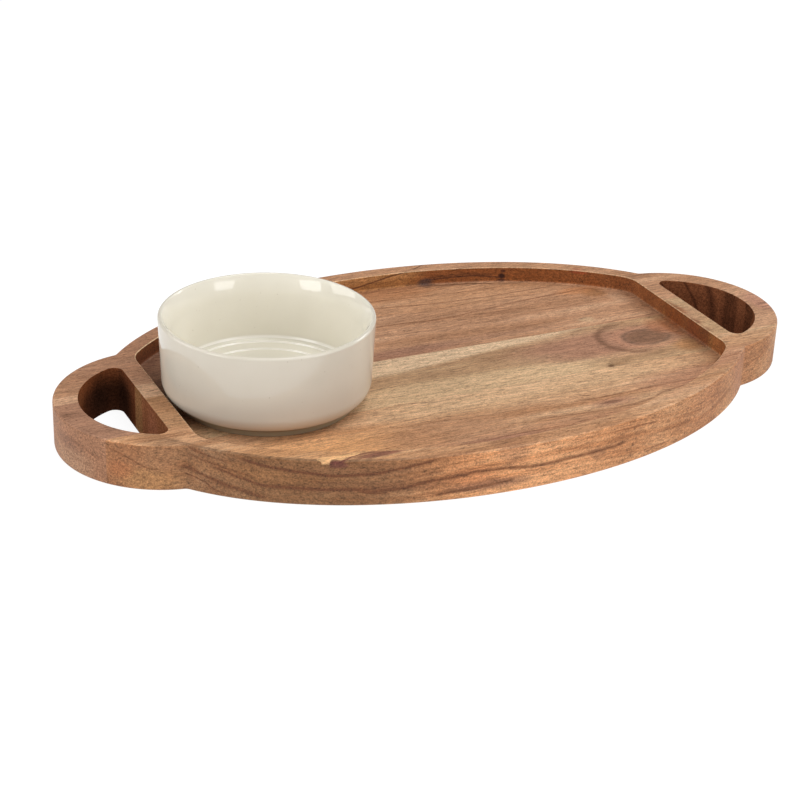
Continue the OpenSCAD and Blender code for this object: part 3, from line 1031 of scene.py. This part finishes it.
def glaze_material():
    g = Nodes("glaze")
    place = g.place()
    cloud = g.noise(place, (22, 22, 22))
    wave = g.noise(place, (7, 7, 7), 1.0)
    speck = g.step(g.noise(place, (1.1, 1.1, 1.1), 0.0), 0.84, 0.90)
    across = g.vector("MULTIPLY", g.vector("SUBTRACT", place, (BOWL_X, BOWL_Y, 0.0)), (1.0, 1.0, 0.0))
    radius = g.vector("LENGTH", across, output="Value")
    height = g.split(place)[2] - FLOOR_Z
    colour = g.mix(cloud, rgb(231, 225, 209), rgb(239, 234, 220))
    # The outside, with the curve at its foot, gets painted shade: darker and pinker, and darker still lower
    # down
    curve = g.step(height, CURVE_H + 0.5, CURVE_H - 0.5) * g.step(radius, 53.8, 54.4)
    outside = g.math("MAXIMUM", g.step(radius, 58.2, 59.4), curve)
    low_down = 0.75 + 0.25 * g.step(height, 32, 10)
    colour = g.mix(outside * low_down, colour, (0.77, 0.74, 0.72, 1), "MULTIPLY")
    # Inside the bowl, the glaze is darker below that height
    low_inside = g.step(height, LOW_INSIDE_H + 2, LOW_INSIDE_H - 2) * (1.0 - outside)
    colour = g.mix(low_inside, colour, (0.88, 0.88, 0.87, 1), "MULTIPLY")
    # Painted highlights: a near white tone over the three bands round the floor
    for band_r in BAND_RADII:
        on_band = g.step(g.absolute(radius - band_r), BAND_HALF, BAND_HALF - 0.2)
        colour = g.mix(0.8 * on_band * low_inside, colour, rgb(255, 251, 243))
    colour = g.mix(0.4 * speck, colour, rgb(150, 130, 104))
    # The foot ring is bare clay, its tone darkened partly as painted shade, with a band of painted shade at
    # its top where the glaze stops above it
    bare = g.step(height, FOOT_H, FOOT_H - 0.3)
    colour = g.mix(bare, colour, rgb(150, 138, 114))
    colour = g.mix(bare * g.step(height, 2.6, 4.4), colour, rgb(62, 48, 36))
    dimple = g.make("Bump", {"Strength": 0.12, "Distance": 0.0003, "Height": wave - speck}, "Normal")
    g.set(base_color=colour, roughness=0.02 + 0.02 * cloud + 0.5 * bare, normal=dimple)
    return g.material


bowl.data.materials.append(glaze_material())
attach(bowl, "bowl")
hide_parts("dip_bowl")


# ---------------------------------------------------------------- stage, light and camera
# Lengths here are in metres, but for the camera's lens and sensor, and angles are in degrees
FLOOR_SIZE = 12.0
TARGET = Vector((-0.0238, -0.00335, 0.0))
CAM_AZIMUTH = -26.04
CAM_ELEVATION = 25.98
CAM_ROLL = 2.14
CAM_DISTANCE = 1.1435
CAM_LENS = 87.87
SENSOR_WIDTH = 36.0
# Square lamps that face the origin: azimuth, elevation, distance, side, power in watts
SOFTBOXES = {
    "overhead": (25, 76, 1.5, 0.9, 9.8),
    "front_box": (27, 21, 1.8, 0.72, 6.6),
    "left_box": (-75, 21, 1.8, 0.75, 8.2),
    "right_box": (100, 30, 1.8, 0.6, 7),
    "back_box": (-118, 28, 1.8, 1.0, 9),
    "fill": (5, 52, 1.5, 0.9, 4.2),
}
# The fill lights the recess and the inside of the bowl from high in front, and shows in no reflection
UNSEEN_IN_GLOSS = ("fill",)
WHITE = (1, 1, 1, 1)
SKY_STRENGTH = 0.155


def direction(azimuth, elevation):
    """Unit vector from the object towards a viewer. Azimuth 0 stands in front, at -Y."""
    azimuth, elevation = math.radians(azimuth), math.radians(elevation)
    return Vector((math.sin(azimuth) * math.cos(elevation), -math.cos(azimuth) * math.cos(elevation),
                   math.sin(elevation)))


def aim(obj, place, target, roll=0.0):
    turned = (target - place).to_track_quat("-Z", "Y").to_matrix()
    turned = turned @ Matrix.Rotation(math.radians(roll), 3, "Z")
    obj.matrix_world = Matrix.Translation(place) @ turned.to_4x4()


def softbox(name, azimuth, elevation, distance, side, power):
    data = bpy.data.lights.new(name, "AREA")
    data.shape = "RECTANGLE"
    data.size = data.size_y = side
    data.energy = power
    light = add(name, data)
    light.visible_glossy = name not in UNSEEN_IN_GLOSS
    aim(light, distance * direction(azimuth, elevation), Vector((0, 0, 0)))


def floor_mesh():
    s = FLOOR_SIZE / 2
    mesh = bpy.data.meshes.new("floor")
    mesh.from_pydata([(-s, -s, 0), (s, -s, 0), (s, s, 0), (-s, s, 0)], [], [(0, 1, 2, 3)])
    return mesh


floor = add("floor", floor_mesh())
light_table = Nodes("light_table")
light_table.set(base_color=(0.16, 0.16, 0.16, 1), roughness=0.9, specular_ior_level=0.0,
                emission_color=WHITE, emission_strength=0.92)
floor.data.materials.append(light_table.material)

camera_data = bpy.data.cameras.new("camera")
camera_data.lens = CAM_LENS
camera_data.sensor_width = SENSOR_WIDTH
camera = add("camera", camera_data)
aim(camera, TARGET + CAM_DISTANCE * direction(CAM_AZIMUTH, CAM_ELEVATION), TARGET, CAM_ROLL)
bpy.context.scene.camera = camera

for name, values in SOFTBOXES.items():
    softbox(name, *values)

world = bpy.data.worlds.new("studio")
bpy.context.scene.world = world
world.use_nodes = True
background = world.node_tree.nodes["Background"]
background.inputs["Color"].default_value = WHITE
background.inputs["Strength"].default_value = SKY_STRENGTH
bpy.context.scene.view_settings.view_transform = "Standard"
